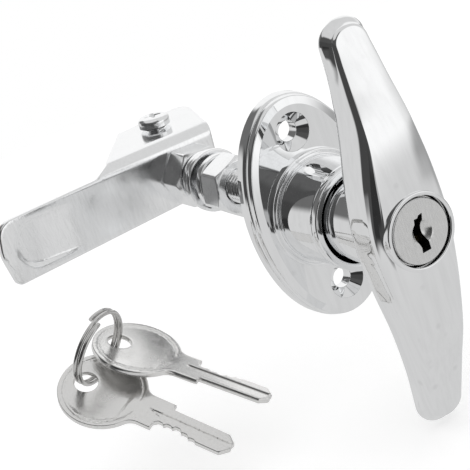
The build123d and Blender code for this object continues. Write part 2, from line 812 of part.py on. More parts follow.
def key_place(x, y, height, turn_deg, pitch_deg, roll_deg):
    return Pos(x, y, height) * Rot(0, 0, turn_deg) * Rot(-pitch_deg, 0, 0) * Rot(0, -roll_deg, 0)


def key_one():
    place = key_place(key_one_x, key_one_y, key_one_h, key_one_deg, key_one_pitch_deg, 0)
    return on_table(place * key())


def key_two():
    """The same key turned over, its cuts on the far side."""
    place = key_place(key_two_x, key_two_y, key_two_h, key_two_deg, key_two_pitch_deg,
                      key_two_roll_deg)
    return on_table(place * Pos(0, 0, key_thick) * Rot(0, 180, 0) * key())


def key_ring():
    """Split ring of two turns, one tube, upright through both key holes."""
    x0, y0, h0 = key_one_x, key_one_y, key_one_h + key_thick / 2
    x1, y1, h1 = key_two_x, key_two_y, key_two_h + key_thick / 2
    run = hypot(x1 - x0, y1 - y0)
    chord = hypot(run, h1 - h0)
    # The ring passes each hole near its centre and hangs a little to one side
    up = sqrt(ring_r ** 2 - (chord / 2 + ring_spread) ** 2)
    along = run / 2 - up * (h1 - h0) / chord + ring_shift
    high = (h0 + h1) / 2 + up * run / chord
    tx, ty = (x1 - x0) / run, (y1 - y0) / run
    centre = (x0 + along * tx + ring_side * ty, y0 + along * ty - ring_side * tx, high)
    plane = Plane(origin=centre, x_dir=(tx, ty, 0), z_dir=(ty, -tx, 0))
    plane = Plane(plane.location * Rot(0, ring_twist_deg, 0))

    def point(half_turns):
        a = pi * half_turns
        return (ring_r * sin(a), ring_r * cos(a), ring_pitch * half_turns / 2)

    arcs = []
    for k in range(ring_half_turns):
        arcs.append(ThreePointArc(point(k), point(k + 0.5), point(k + 1)))
    path = Wire(arcs)
    start = Plane(origin=path @ 0, z_dir=path % 0)
    tube = sweep(start * Circle(ring_wire_d / 2), path=path)
    # Least gap of the tube to itself, measured on points of the two turns
    steps = 2 * ring_gap_steps
    points = [path @ (i / steps) for i in range(steps + 1)]
    least = min((points[i] - points[j]).length for i in range(steps + 1)
                for j in range(i + steps // 3, steps + 1))
    print("Split ring: least gap to itself", round(least - ring_wire_d, 3), "mm")
    back = Pos(0, 0, -ring_pitch * ring_half_turns / 4)
    return on_table(plane.location * back * tube)


pieces = {
    "escutcheon": escutcheon(),
    "handle": turned(handle()),
    "lock_barrel": turned(lock_barrel()),
    "lock_plug": turned(lock_plug()),
    "plug_clip": turned(plug_clip()),
    "plug_crank": turned(crank()),
    "locking_bolt": turned(locking_bolt()),
    "spindle": turned(spindle()),
    "cross_pin": turned(cross_pin()),
    "thrust_washer": turned(thrust_washer()),
    "retaining_ring": turned(ring_clip()),
    "front_nut": hex_nut(nut_front_y, nut_height, nut_front_deg),
    "front_split_washer": split_washer(split_one_y, split_front_deg),
    "flat_washer": flat_washer(),
    "rear_split_washer": split_washer(split_two_y, split_rear_deg),
    "rear_nut": hex_nut(nut_rear_y, nut_height, nut_rear_deg),
    "cam": turned(cam()),
    "end_washer": turned(end_washer()),
    "end_nut": turned(hex_nut(end_nut_y, end_nut_height, end_nut_deg)),
    "rod_screw": turned(rod_screw()),
    "rod_nut": turned(rod_nut()),
    "key_ring": key_ring(),
    "key_one": key_one(),
    "key_two": key_two(),
}
for i, place in enumerate(wafer_places()):
    pieces["wafer_" + str(i + 1)] = turned(wafer(place))

for name, shape in pieces.items():
    export_step(shape, "parts/" + name + ".step")
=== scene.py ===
import json
import math

import bmesh
import bpy
from mathutils import Matrix, Vector
from mathutils.geometry import delaunay_2d_cdt
from mathutils.kdtree import KDTree


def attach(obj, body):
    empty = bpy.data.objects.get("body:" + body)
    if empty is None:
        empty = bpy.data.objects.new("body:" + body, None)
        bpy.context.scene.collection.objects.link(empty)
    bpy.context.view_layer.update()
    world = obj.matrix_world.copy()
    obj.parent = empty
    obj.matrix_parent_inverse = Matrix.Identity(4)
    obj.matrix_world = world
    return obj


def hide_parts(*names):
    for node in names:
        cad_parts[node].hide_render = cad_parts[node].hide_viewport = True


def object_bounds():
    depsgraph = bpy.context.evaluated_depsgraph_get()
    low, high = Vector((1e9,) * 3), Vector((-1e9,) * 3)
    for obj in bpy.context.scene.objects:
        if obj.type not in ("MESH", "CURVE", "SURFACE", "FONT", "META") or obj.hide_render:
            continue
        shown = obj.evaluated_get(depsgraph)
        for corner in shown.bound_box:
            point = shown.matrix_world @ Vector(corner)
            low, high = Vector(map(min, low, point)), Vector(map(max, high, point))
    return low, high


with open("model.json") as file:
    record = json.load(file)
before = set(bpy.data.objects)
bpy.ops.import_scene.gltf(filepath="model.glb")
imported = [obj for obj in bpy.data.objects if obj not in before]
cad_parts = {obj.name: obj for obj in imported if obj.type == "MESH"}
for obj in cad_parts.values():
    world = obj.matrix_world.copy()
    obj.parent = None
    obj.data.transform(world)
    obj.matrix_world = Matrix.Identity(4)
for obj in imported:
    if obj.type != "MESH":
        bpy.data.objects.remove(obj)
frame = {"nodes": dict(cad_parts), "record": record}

cad_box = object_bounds()

# Oval plate with its collar
# Zinc die-casting under bright chrome: an oval rim of rounded steps, a flat face
# with two countersunk screw holes, and the collar that the handle's neck turns in.
mm = 0.001
oval_steps, turned_steps, hole_steps = 256, 200, 96
plate_half = (20.995, 34.59)
plate_front = 6.3
rim_land, land_ease, rim_step, rim_steps, step_lap = 1.9, 0.3, 0.5, 2, 0.92
band_start, band_end, band_fall, face_lip, edge_row, face_inset = 1.1, 3.05, 0.5, 0.02, 0.04, 3.7
screw_z, screw_r, sink_r, sink_lip, sink_depth, sink_ease = 23.85, 3.0, 5.65, 0.05, 2.65, 0.12
bead_r, bead_inner_r, bead_rise, groove_r, groove_rise = 17.0, 16.1, 1.4, 16.0, 1.0
collar_reach, collar_r, collar_foot_r, flare_start, flare_end = 26.5, 15.3, 15.1, 3.0, 2.0
collar_bore_r, collar_mouth_r, bore_floor, casting_ease = 12.6, 13.4, -6.0, 0.45
notch_front, notch_back, notch_r, notch_spans = -24.9, -20.7, 14.3, ((-16.2, 23.4), (66.6, 106.2))
window_reach = 14.5
back_land, recess_floor, boss_r, plate_hole_r = 2.6, -2.6, 6.7, 5.3


def rounded(corners, ease, steps=4):
    """The same profile with its inner corners eased by small arcs."""
    line = [corners[0]]
    for before, here, after in zip(corners, corners[1:], corners[2:]):
        a, b, c = Vector(before), Vector(here), Vector(after)
        cut = min(ease, 0.45 * (a - b).length, 0.45 * (c - b).length)
        start, end = b + (a - b).normalized() * cut, b + (c - b).normalized() * cut
        for k in range(steps + 1):
            t = k / steps
            line.append(tuple((1 - t) ** 2 * start + 2 * t * (1 - t) * b + t ** 2 * end))
    return line + [corners[-1]]


def bands(rows, around):
    """Quads that join each row of points to the next, every row closed on itself."""
    return [(j * around + k, j * around + (k + 1) % around,
             (j + 1) * around + (k + 1) % around, (j + 1) * around + k)
            for j in range(rows - 1) for k in range(around)]


def ring_of(profile, around, point):
    """Surface that carries each place of a profile round by the point function."""
    return [point(k / around, *spot) for spot in profile for k in range(around)], bands(len(profile), around)


def round_point(u, radius, y, z=0.0):
    """Point on a turned surface about the spindle axis, or about one parallel to it."""
    return radius * math.sin(2 * math.pi * u), y, radius * math.cos(2 * math.pi * u) + z


def windowed(band, spans, front, back, inside):
    """The faces of a turned band that lie inside, or outside, windows from one angle to another."""
    verts, faces = band
    kept = []
    for face in faces:
        x, y, z = (sum(verts[k][axis] for k in face) / len(face) for axis in range(3))
        angle = math.degrees(math.atan2(x, z))
        within = front - 0.01 < y < back + 0.01 and math.hypot(x, z) < window_reach
        if (within and any(low < angle < high for low, high in spans)) == inside:
            kept.append(face)
    return verts, kept


def fitted(name, parts, body, slot, cad_nodes, place=Matrix(), sharp=40, finish=None):
    """Joins lists of millimetre points and faces into one piece that rides on its body."""
    verts, faces = [], []
    for points, quads in parts:
        base = len(verts)
        verts += [place @ (Vector(p) * mm) for p in points]
        faces += [tuple(base + i for i in quad) for quad in quads]
    mesh = bpy.data.meshes.new(name)
    mesh.from_pydata([tuple(v) for v in verts], [], faces)
    work = bmesh.new()
    work.from_mesh(mesh)
    bmesh.ops.remove_doubles(work, verts=work.verts, dist=2e-6)
    bmesh.ops.recalc_face_normals(work, faces=work.faces)
    work.to_mesh(mesh)
    work.free()
    mesh.shade_smooth()
    mesh.set_sharp_from_angle(angle=math.radians(sharp))
    mesh.materials.append(finish or finishes[slot])
    piece = bpy.data.objects.new(name, mesh)
    bpy.context.scene.collection.objects.link(piece)
    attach(piece, body)
    if cad_nodes:
        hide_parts(*cad_nodes)
    return piece


def wired(tree, node, sockets):
    """Sets each socket of a shader node to a number, or links it to another node's output."""
    for name, value in sockets.items():
        if isinstance(value, bpy.types.NodeSocket):
            tree.links.new(value, node.inputs[name])
        else:
            node.inputs[name].default_value = value
    return node


def added(tree, kind, sockets, **settings):
    """New shader node of this kind, set and wired."""
    made = tree.nodes.new(kind)
    for name, value in settings.items():
        setattr(made, name, value)
    return wired(tree, made, sockets)


def shader_group(name, **sockets):
    """New node group, with number sockets of these names on each side."""
    group = bpy.data.node_groups.new(name, "ShaderNodeTree")
    for side, names in sockets.items():
        for title in names:
            group.interface.new_socket(title, in_out=side, socket_type="NodeSocketFloat")
    return group


def fine_marks():
    """Shader group: faint hand marks, hairlines and a little ripple, as on plated metal."""
    group = shader_group("fine_marks", INPUT=("Scale", "Rough low", "Rough high", "Tone low"),
                         OUTPUT=("Tone", "Roughness", "Height"))
    enter = group.nodes.new("NodeGroupInput").outputs
    where = group.nodes.new("ShaderNodeTexCoord").outputs["Object"]
    sized = added(group, "ShaderNodeVectorMath", {0: where, "Scale": enter["Scale"]},
                  operation="SCALE").outputs[0]
    cloud = added(group, "ShaderNodeTexNoise", {"Vector": sized, "Scale": 0.4, "Detail": 4.0})
    rough = added(group, "ShaderNodeMapRange", {
        "Value": cloud.outputs["Fac"], "From Min": 0.35, "From Max": 0.68,
        "To Min": enter["Rough low"], "To Max": enter["Rough high"]})
    stretch = added(group, "ShaderNodeMapping", {"Vector": sized, "Scale": (6.0, 6.0, 0.6)})
    hair = added(group, "ShaderNodeTexNoise", {"Vector": stretch.outputs[0], "Scale": 1.6, "Detail": 5.0})
    tone = added(group, "ShaderNodeMapRange", {
        "Value": hair.outputs["Fac"], "From Min": 0.32, "From Max": 0.6, "To Min": enter["Tone low"]})
    speck = added(group, "ShaderNodeTexVoronoi", {"Vector": sized, "Scale": 2.2, "Randomness": 1.0})
    pit = added(group, "ShaderNodeMapRange", {
        "Value": speck.outputs["Distance"], "From Min": 0.05, "From Max": 0.16, "To Min": 0.55})
    both = added(group, "ShaderNodeMath", {0: tone.outputs[0], 1: pit.outputs[0]}, operation="MULTIPLY")
    added(group, "NodeGroupOutput", {"Tone": both.outputs[0], "Roughness": rough.outputs[0],
                                     "Height": hair.outputs["Fac"]})
    return group


marks = fine_marks()


def metal(name, colour, scale, rough, tone_low, bump):
    """Metal finish of one colour, broken by the shared marks; their hollows are a little darker."""
    finish = bpy.data.materials.new(name)
    finish.use_nodes = True
    tree = finish.node_tree
    wear = added(tree, "ShaderNodeGroup", {"Scale": scale, "Rough low": rough[0], "Rough high": rough[1],
                                           "Tone low": tone_low}, node_tree=marks).outputs
    tint = added(tree, "ShaderNodeMix", {"Factor": wear["Tone"], "A": (*(c * 0.8 for c in colour), 1.0),
                                         "B": (*colour, 1.0)}, data_type="RGBA")
    dent = added(tree, "ShaderNodeBump", {"Height": wear["Height"], "Strength": bump, "Distance": 0.00002})
    wired(tree, tree.nodes["Principled BSDF"], {
        "Metallic": 1.0, "Base Color": tint.outputs["Result"], "Roughness": wear["Roughness"],
        "Normal": dent.outputs["Normal"]})
    return finish


finishes = {"chrome": metal("bright_chrome", (0.93, 0.935, 0.94), 60.0, (0.015, 0.05), 0.75, 0.08)}


def oval_point(u, inset, y):
    """Point on the oval outline, drawn in by the inset."""
    a = 2 * math.pi * u
    return (plate_half[0] - inset) * math.sin(a), y, (plate_half[1] - inset) * math.cos(a)


def flat_web(inset, middle_r, hole_r, y):
    """Flat web between the oval rim, the middle opening and the two screw holes."""
    loops = [(oval_steps, oval_point, (inset, y)), (turned_steps, round_point, (middle_r, y))]
    loops += [(hole_steps, round_point, (hole_r, y, z)) for z in (screw_z, -screw_z)]
    work = bmesh.new()
    edges = []
    for around, point, spot in loops:
        row = [work.verts.new(point(k / around, *spot)) for k in range(around)]
        edges += [work.edges.new((row[k - 1], row[k])) for k in range(around)]
    bmesh.ops.triangle_fill(work, use_beauty=True, use_dissolve=False, edges=edges)
    work.verts.index_update()
    made = [tuple(v.co) for v in work.verts], [tuple(v.index for v in f.verts) for f in work.faces]
    work.free()
    return made


def rim_profile():
    """From the back edge over the land, the rounded steps and a sloping band to the flat face."""
    line = [(0.0, 0.0), (0.0, -rim_land + land_ease)]
    rise = (plate_front - band_fall - rim_land) / rim_steps
    for k in range(rim_steps):
        for turn in range(0, 91, 15):
            a = math.radians(turn)
            line.append((rim_step * k + rim_step * (1 - math.cos(a)) * step_lap,
                         -rim_land - rise * k - rise * math.sin(a)))
    for t in (0, edge_row, 1 - edge_row, 1):
        line.append((band_start + (band_end - band_start) * t,
                     -plate_front + face_lip + (band_fall - face_lip) * (1 - t)))
    return line + [(inset, -plate_front)
                   for inset in (band_end + 2 * edge_row, band_end + 3 * edge_row, face_inset)]


def screw_sink(z):
    """Countersink, screw hole and the boss behind it."""
    wall = rounded([(sink_r, -plate_front), (sink_r - sink_lip, -plate_front + 2 * sink_lip),
                    (screw_r, -plate_front + sink_depth), (screw_r, 0.0), (boss_r, 0.0),
                    (boss_r, recess_floor)], sink_ease)
    return ring_of([(radius, y, z) for radius, y in wall], hole_steps, round_point)


rim = ring_of(rim_profile(), oval_steps, oval_point)
behind = ring_of([(0, 0), (back_land, 0), (back_land, recess_floor)], oval_steps, oval_point)
plate_face = flat_web(face_inset, bead_r, sink_r, -plate_front)
plate_back = flat_web(back_land, plate_hole_r, boss_r, recess_floor)
sinks = [screw_sink(z) for z in (screw_z, -screw_z)]
collar_line = rounded([(bead_r, -plate_front), (bead_r, -plate_front - bead_rise),
                       (bead_inner_r, -plate_front - bead_rise), (groove_r, -plate_front - groove_rise),
                       (collar_foot_r, -plate_front - groove_rise),
                       (collar_foot_r, -collar_reach + flare_start), (collar_r, -collar_reach + flare_end),
                       (collar_r, -collar_reach), (collar_mouth_r, -collar_reach),
                       (collar_bore_r, notch_front), (collar_bore_r, notch_back),
                       (collar_bore_r, bore_floor)], casting_ease)
collar_line += [(plate_hole_r, bore_floor), (plate_hole_r, recess_floor)]
pocket_line = [(collar_bore_r, notch_front), (notch_r, notch_front),
               (notch_r, notch_back), (collar_bore_r, notch_back)]
collar, pockets = (windowed(ring_of(line, turned_steps, round_point), notch_spans, notch_front, notch_back,
                            inside) for line, inside in ((collar_line, False), (pocket_line, True)))
fitted("plate_and_collar", [rim, plate_face, collar, pockets, behind, plate_back] + sinks, "plate",
       "chrome", ["escutcheon"], sharp=50)

# T-handle
# Zinc die-casting under bright chrome: a bowed bar with a crowned front, a rounded
# crease along its edge, a round neck behind and a raised ring round the lock.
bar_half, bar_end_r, bar_rear_r, crown_r, bar_stations = 59.38, 6.0, 2.2, 42.0, 120
# Half width, front, back, eased edge and wall lean of the bar, as (distance from the middle, size)
bar_widths = ((0, 12.6), (14, 11.2), (29, 8.4), (42, 7.15), (53.4, 7.35))
bar_fronts = ((0, 53.2), (14, 53.2), (29, 51.9), (42, 48.1), (53.4, 44.8), (59.4, 43.5))
bar_backs = ((0, 38), (29, 37.6), (42, 37.6), (59.4, 38.1))
crease_insets = ((0, 3.1), (11, 2.7), (22, 1.6), (32, 0.8), (42, 0.7), (53.4, 0.8), (59.4, 0.8))
crease_drops = ((0, 3.3), (14, 3.9), (28, 4), (42, 2.9), (53.4, 1.2), (59.4, 0.9))
wall_leans = ((0, 0), (34, 0), (42, 0.3), (48, 0.9), (53.4, 1.7), (59.4, 1.7))
neck_r, neck_steps, neck_foot, neck_ease = 12.3, 160, -6.3, 0.5
window_front, window_back, window_spans = -24.8, -20.8, ((-9.0, 22.5),)
ring_outer_r, ring_inner_r, ring_front, ring_ease = 11.0, 9.8, 53.88, 0.42
pocket_front, pocket_r, inner_end, ring_foot, ring_waist, ring_step = -45.0, 10.9, -40.0, -47.0, -52.0, -50.0


def turning(degrees, axis):
    """Rotation about one axis."""
    return Matrix.Rotation(math.radians(degrees), 4, axis)


turned, bar_turned = turning(7.0, "Y"), turning(5.3, "Y")


def along(table, z):
    """Smooth value between the listed stations, the same on both halves of the bar."""
    z = abs(z)
    for (z0, v0), (z1, v1) in zip(table, table[1:]):
        if z <= z1 or (z1, v1) == table[-1]:
            k = table.index((z0, v0))
            before = table[k - 1] if k > 0 else (-z1, v1)
            after = table[k + 2] if k + 2 < len(table) else (2 * z1 - z0, 2 * v1 - v0)
            m0 = (v1 - before[1]) / (z1 - before[0]) * (z1 - z0)
            m1 = (after[1] - v0) / (after[0] - z0) * (z1 - z0)
            t = (z - z0) / (z1 - z0)
            return ((2 * t ** 3 - 3 * t ** 2 + 1) * v0 + (t ** 3 - 2 * t ** 2 + t) * m0
                    + (3 * t ** 2 - 2 * t ** 3) * v1 + (t ** 3 - t ** 2) * m1)


def bar_outline():
    """Front view of the bar: points and outward directions, once round."""
    end = bar_half - bar_end_r
    heights = [end * (1 - 2 * k / bar_stations) for k in range(bar_stations + 1)]
    flank = [(along(bar_widths, z), z) for z in heights]
    tip_w = flank[0][0]
    cap = [(tip_w * math.sin(a), end + bar_end_r * math.cos(a))
           for a in (math.pi * (k / 36 - 0.5) for k in range(1, 36))]
    points = cap + flank + [(-x, -z) for x, z in cap] + [(-x, z) for x, z in reversed(flank)]
    outline = []
    for (ax, az), (x, z), (bx, bz) in zip(points[-1:] + points[:-1], points, points[1:] + points[:1]):
        long = math.hypot(bx - ax, bz - az)
        outline.append((x, z, -(bz - az) / long, (bx - ax) / long))
    return outline


def front_depth(x, z):
    """Crowned front of the bar."""
    return along(bar_fronts, z) - (crown_r - math.sqrt(crown_r ** 2 - x * x))


def closing_in(row, part):
    """The row's points, moved part of the way to the bar's middle line, as (x, z)."""
    end = bar_half - bar_end_r
    return [(x * (1 - part), z + (max(-end, min(end, z)) - z) * part) for x, _, z in row]


def bar_walls(outline):
    """Rounded rear edge and leaning walls, and where each wall ends below the front."""
    rows = []
    for step in range(9):
        a = math.radians(90 * step / 8)
        inset, rise = bar_rear_r * (1 - math.sin(a)), bar_rear_r * (1 - math.cos(a))
        rows.append([(x - nx * inset, -(along(bar_backs, z) + rise), z - nz * inset)
                     for x, z, nx, nz in outline])
    tops = []
    for x, z, nx, nz in outline:
        lean, inset, drop = (along(table, z) for table in (wall_leans, crease_insets, crease_drops))
        top_x, top_z = x - nx * lean, z - nz * lean
        tops.append((top_x, top_z, inset, drop, front_depth(top_x, top_z) - drop))
    for part in (0.25, 0.5, 0.75):
        row = []
        for (x, z, _, _), (top_x, top_z, _, _, high) in zip(outline, tops):
            low = along(bar_backs, z) + bar_rear_r
            row.append((x + (top_x - x) * part, -(low + (high - low) * part), z + (top_z - z) * part))
        rows.append(row)
    return rows, tops


def bar_mesh():
    """Walls, eased edge and both faces, as rows that close in on the bar's middle line."""
    outline = bar_outline()
    rows, tops = bar_walls(outline)
    for step in range(15):
        a = math.pi / 2 * step / 14
        row = []
        for (_, _, nx, nz), (top_x, top_z, inset, drop, _) in zip(outline, tops):
            x, z = top_x - nx * inset * (1 - math.cos(a)), top_z - nz * inset * (1 - math.cos(a))
            row.append((x, -(front_depth(x, z) - drop * (1 - math.sin(a))), z))
        rows.append(row)
    back_row, crest_row = rows[0], rows[-1]
    lifts = [-front_depth(x, z) - y for x, y, z in crest_row]
    for part in (0.05, 0.1, 0.15, 0.2, 0.25, 0.3, 0.36, 0.43, 0.5, 0.57, 0.64, 0.71, 0.78, 0.86, 0.93, 1.0):
        rows.append([(x, -front_depth(x, z) - lift * (1 - part) ** 2, z)
                     for (x, z), lift in zip(closing_in(crest_row, part), lifts)])
    for part in (0.2, 0.45, 0.7, 1.0):
        rows.insert(0, [(x, -along(bar_backs, z), z) for x, z in closing_in(back_row, part)])
    verts = [spot for row in rows for spot in row]
    pocket = [y < pocket_front and math.hypot(x, z) < pocket_r for x, y, z in verts]
    return verts, [face for face in bands(len(rows), len(outline)) if not all(pocket[k] for k in face)]


neck_line = rounded([(neck_r, inner_end), (neck_r, window_front), (neck_r, window_back),
                     (neck_r, neck_foot - 0.3), (neck_r - 0.5, neck_foot), (6.1, neck_foot)], neck_ease)
neck = windowed(ring_of(neck_line, neck_steps, round_point), window_spans, window_front, window_back, False)
lock_ring_line = rounded([(ring_outer_r + 0.3, ring_foot), (ring_outer_r, ring_waist),
                          (ring_outer_r, -ring_front), (ring_inner_r, -ring_front),
                          (ring_inner_r - 0.05, ring_step), (ring_inner_r, inner_end)], ring_ease, 6)
lock_ring = ring_of(lock_ring_line, neck_steps, round_point)
bar_points, bar_faces = bar_mesh()
bar_points = [tuple(bar_turned @ Vector(spot)) for spot in bar_points]
fitted("t_handle", [(bar_points, bar_faces), neck, lock_ring], "handle", "chrome", ["handle"], sharp=60)

# Lock
# Satin plug face with its key slot and thumb dimple, flush in the ring of the handle;
# barrel, brass wafers, clip, crank and bolt sit behind it.
for slot, name, *look in (
        ("satin", "satin_nickel", (0.78, 0.78, 0.775), 500.0, (0.2, 0.3), 0.4, 0.4),
        ("steel", "plain_steel", (0.62, 0.62, 0.63), 300.0, (0.2, 0.35), 0.4, 0.4),
        ("brass", "stamped_brass", (0.78, 0.62, 0.32), 300.0, (0.2, 0.35), 0.4, 0.4),
        ("zinc", "bright_zinc", (0.97, 0.975, 0.98), 260.0, (0.1, 0.24), 0.72, 0.5),
        ("key_nickel", "key_nickel", (0.91, 0.905, 0.895), 420.0, (0.16, 0.28), 0.55, 0.5)):
    finishes[slot] = metal(name, *look)
for part in frame["record"]["subparts"]:
    piece = frame["nodes"][part["node"]]
    piece.data.materials.clear()
    piece.data.materials.append(finishes[part["material_slot"]])


def eased(corners, spacing):
    """Closed outline through (x, y, radius) corners, with arcs and evenly spaced points."""
    loop = []
    for (ax, ay, _), (bx, by, r), (cx, cy, _) in zip(corners[-1:] + corners[:-1], corners,
                                                     corners[1:] + corners[:1]):
        here = Vector((bx, by))
        back, ahead = (Vector((ax, ay)) - here).normalized(), (Vector((cx, cy)) - here).normalized()
        half = back.angle(ahead) / 2
        if r <= 0 or half > 1.55:
            loop.append(here)
            continue
        centre = here + (back + ahead).normalized() * r / math.sin(half)
        first, last = here + back * r / math.tan(half), here + ahead * r / math.tan(half)
        a0 = math.atan2(*(first - centre).yx)
        swing = (math.atan2(*(last - centre).yx) - a0 + math.pi) % (2 * math.pi) - math.pi
        count = max(3, int(abs(swing) * r / spacing) + 2)
        loop += [centre + r * Vector((math.cos(a0 + swing * k / count), math.sin(a0 + swing * k / count)))
                 for k in range(count + 1)]
    dense = []
    for start, end in zip(loop, loop[1:] + loop[:1]):
        count = max(1, round((end - start).length / spacing))
        dense += [start + (end - start) * k / count for k in range(count)]
    return dense


def on_circle(x, y, radius, angles):
    """Points at these angles of a circle."""
    return [(x + radius * math.cos(a), y + radius * math.sin(a)) for a in angles]


def hole_round(x, y, radius, around):
    """Clockwise circle, for a hole in a sheet."""
    angles = (-2 * math.pi * k / around for k in range(around))
    return [Vector(spot) for spot in on_circle(x, y, radius, angles)]


class Sheet:
    """Even triangles over an outline with holes, and how far each point is from an edge.

    Rows of points follow the edges at the given distances, and the inner points lie where
    the face has a crease or a step.
    """

    def __init__(self, loops, spacing, rows, inner=()):
        self.edges, self.spots = [], []
        for loop in loops:
            base = len(self.spots)
            self.edges += [(base + k, base + (k + 1) % len(loop)) for k in range(len(loop))]
            self.spots += loop
        self.near = KDTree(len(self.spots))
        for k, spot in enumerate(self.spots):
            self.near.insert((spot.x, spot.y, 0), k)
        self.near.balance()
        self.next = {a: b for a, b in self.edges}
        self.before = {b: a for a, b in self.edges}
        rim = len(self.spots)
        clear = max(rows) if rows else 0.0
        for loop in loops:
            for back, here, ahead in zip(loop[-1:] + loop[:-1], loop, loop[1:] + loop[:1]):
                way = (ahead - back).normalized()
                for row in rows:
                    spot = here + row * Vector((-way.y, way.x))
                    if self.gap(spot) > row * 0.93:
                        self.spots.append(spot)
        for spot in inner:
            if self.inside(spot) and self.gap(spot) > clear + 0.02:
                self.spots.append(Vector(spot))
        low_x = min(q.x for q in loops[0])
        low_y, high_y = min(q.y for q in loops[0]), max(q.y for q in loops[0])
        for j in range(int((high_y - low_y) / spacing) + 1):
            y = low_y + (j + 0.37) * spacing
            crossed = self.crossings(y)
            for first, last in zip(crossed[::2], crossed[1::2]):
                for i in range(int((first - low_x) / spacing), int((last - low_x) / spacing) + 1):
                    spot = Vector((low_x + (i + 0.5 * (j % 2)) * spacing, y))
                    if first < spot.x < last and self.gap(spot) > clear + 0.3 * spacing:
                        self.spots.append(spot)
        made = delaunay_2d_cdt(self.spots, self.edges, [], 0, 1e-4)
        self.points, faces = made[0], made[2]
        kept = [list(k) for k in made[3]]
        on_rim = [any(q < rim for q in k) for k in kept]
        self.faces = []
        for face in faces:
            if all(on_rim[k] for k in face):
                centre = sum((self.points[k] for k in face), Vector((0, 0))) / 3
                if not self.inside(centre):
                    continue
            self.faces.append(tuple(face))
        self.wall = self.rim_edges()

    def crossings(self, y):
        """Where a line across the sheet at this height meets its edges."""
        found = []
        for a, b in self.edges:
            p, q = self.spots[a], self.spots[b]
            if (p.y > y) != (q.y > y):
                found.append(p.x + (y - p.y) * (q.x - p.x) / (q.y - p.y))
        return sorted(found)

    def inside(self, spot):
        return sum(1 for x in self.crossings(spot[1]) if x > spot[0]) % 2 == 1

    def gap(self, spot):
        """Distance to the nearest edge of the sheet."""
        best = 1e9
        for _, k, _ in self.near.find_n((spot[0], spot[1], 0), 3):
            for a, b in ((k, self.next[k]), (self.before[k], k)):
                p, q = self.spots[a], self.spots[b]
                way = q - p
                t = max(0.0, min(1.0, (Vector(spot[:2]) - p).dot(way) / way.length_squared))
                best = min(best, (p + way * t - Vector(spot[:2])).length)
        return best

    def rim_edges(self):
        """Edges that belong to one kept triangle only."""
        seen = {}
        for face in self.faces:
            for a, b in zip(face, face[1:] + face[:1]):
                seen[(a, b)] = 1
        return [(a, b) for a, b in seen if (b, a) not in seen]

    def solid(self, point):
        """Both skins and the wall between them; point(x, y, side, gap) places each vertex."""
        gaps = [self.gap(q) for q in self.points]
        skin = len(self.points)
        verts = [point(q.x, q.y, side, gap) for side in (1, -1) for q, gap in zip(self.points, gaps)]
        faces = self.faces + [tuple(skin + k for k in reversed(face)) for face in self.faces]
        faces += [(b, a, skin + a, skin + b) for a, b in self.wall]
        return verts, faces


def edge_drop(gap, radius):
    """How far a rounded edge lies below its face at this distance in from the side."""
    return radius - math.sqrt(max(0.0, radius ** 2 - max(0.0, radius - gap) ** 2))


def gentle(t):
    """Soft step from nought to one."""
    t = max(0.0, min(1.0, t))
    return t * t * (3 - 2 * t)


# The face is drawn with x to the right and z up, as (x, z); keyway corners as (x, z, radius)
plug_r, plug_edge, plug_bevel, plug_face, plug_back, plug_steps = 9.2, 0.32, 0.06, 53.4, 50.0, 150
dimple_r, dimple_ball, dimple_x, dimple_z = 3.3, 4.4, 0.35, -0.2
dimple_rows = (0.6, 1.2, 1.8, 2.3, 2.8, 3.1, 3.24, 3.36)
keyway_depth = 8.0
keyway_line = [(1.5, 4.85, 0.1), (0.2, 4.6, 0.1), (-0.3, 3.95, 0.1), (-1.45, 3.95, 0.15),
               (-1.6, 2.3, 0.3), (-2.2, 0.9, 0.6), (-1.85, -2.0, 2.0), (-0.85, -4.4, 0.2),
               (-0.95, -5.9, 0.15), (2.0, -5.75, 0.2), (1.8, -3.5, 2.0), (1.0, -0.9, 1.5),
               (0.9, 1.2, 0.8), (1.0, 2.1, 0.4)]
keyway_hole = eased(keyway_line, 0.3)
if sum(a.x * b.y - b.x * a.y for a, b in zip(keyway_hole, keyway_hole[1:] + keyway_hole[:1])) > 0:
    keyway_hole.reverse()
face_rim = hole_round(0, 0, plug_r - plug_edge, plug_steps)[::-1]
dimple_points = []
for r in dimple_rows:
    around = int(16 + 12 * r)
    angles = (2 * math.pi * (k + 0.5 * r) / around for k in range(around))
    dimple_points += on_circle(dimple_x, dimple_z, r, angles)
face_sheet = Sheet([face_rim, keyway_hole], 0.8, (), dimple_points)


def plug_depth(x, z):
    """Ball-shaped dimple round the keyway."""
    reach_in = math.hypot(x - dimple_x, z - dimple_z)
    if reach_in >= dimple_r:
        return 0.0
    return math.sqrt(dimple_ball ** 2 - reach_in ** 2) - math.sqrt(dimple_ball ** 2 - dimple_r ** 2)


plug_points, slot_front = ([(q.x, -plug_face + plug_depth(q.x, q.y), q.y) for q in spots]
                           for spots in (face_sheet.points, keyway_hole))
plug_side = ring_of([(plug_r - plug_edge, -plug_face),
                     (plug_r - plug_bevel, -plug_face + plug_edge - plug_bevel),
                     (plug_r, -plug_face + plug_edge + 0.1), (plug_r, -plug_back)], plug_steps, round_point)
fitted("plug_face", [(plug_points, face_sheet.faces), plug_side], "plug", "satin", ["lock_plug"], turned, 30)
# The keyway walls are coloured near black: painted shade for the dark deep in the slot, not the colour of the
# metal there.
keyway_painted_shade = metal("painted_shade_in_the_keyway", (0.07, 0.07, 0.075), 500.0, (0.35, 0.5), 0.6, 0.3)
slot_back = [(q.x, -plug_face + keyway_depth, q.y) for q in keyway_hole]
slot_faces = bands(2, len(slot_front)) + [tuple(range(len(slot_front), 2 * len(slot_front)))]
fitted("keyway_walls", [(slot_front + slot_back, slot_faces)], "plug", "steel", [], turned, 30, keyway_painted_shade)

